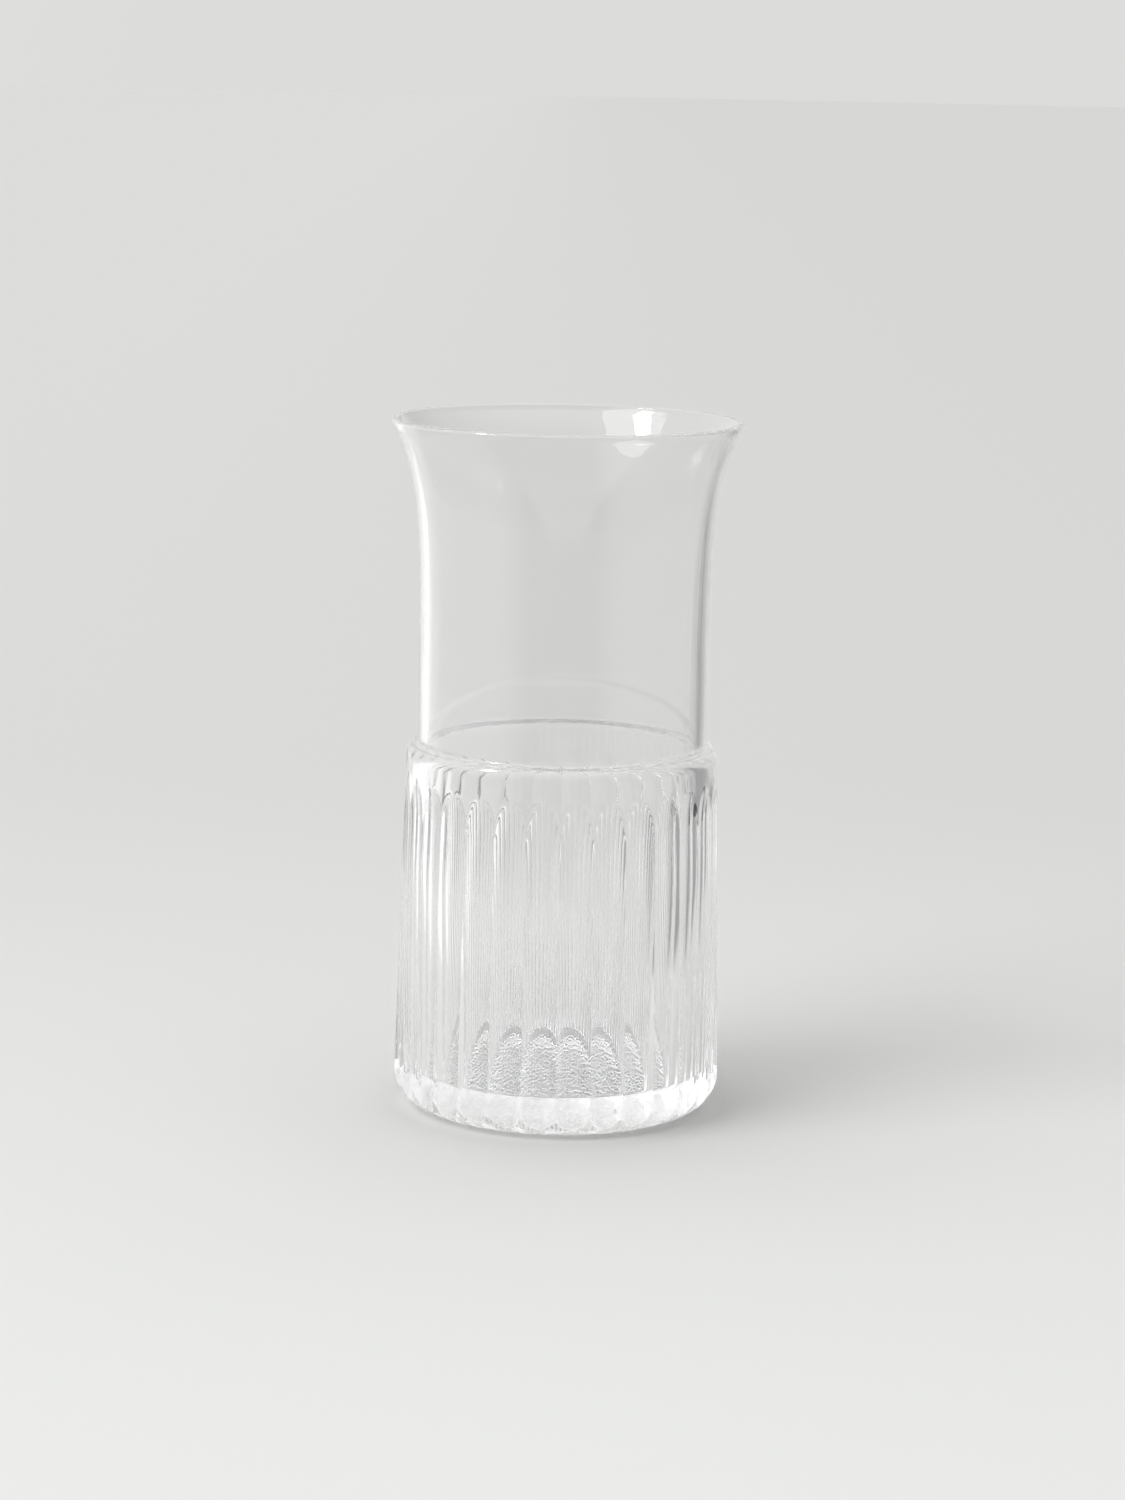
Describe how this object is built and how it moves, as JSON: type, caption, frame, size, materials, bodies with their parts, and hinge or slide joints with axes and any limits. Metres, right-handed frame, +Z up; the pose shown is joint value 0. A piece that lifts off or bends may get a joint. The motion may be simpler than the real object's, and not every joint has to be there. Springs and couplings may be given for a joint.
{
  "type": "juice glass",
  "caption": "Clear juice glass with a thin plain upper wall, a flared fire-polished lip and a thicker lower half with upright moulded flutes and a heavy base.",
  "frame": {"origin": "on the table under the middle of the glass, at the height of the ring that it stands on", "axes": "+Z up along the axis of the glass, from the foot to the lip; -Y faces the viewer of the picture"},
  "size_m": [0.0604, 0.0604, 0.12],
  "materials": {
    "clear_glass": "clear, fire-polished, smooth inside and out"
  },
  "bodies": {
    "root": {"blown_cup": "clear_glass", "fluted_jacket": "clear_glass"}
  },
  "joints": []
}
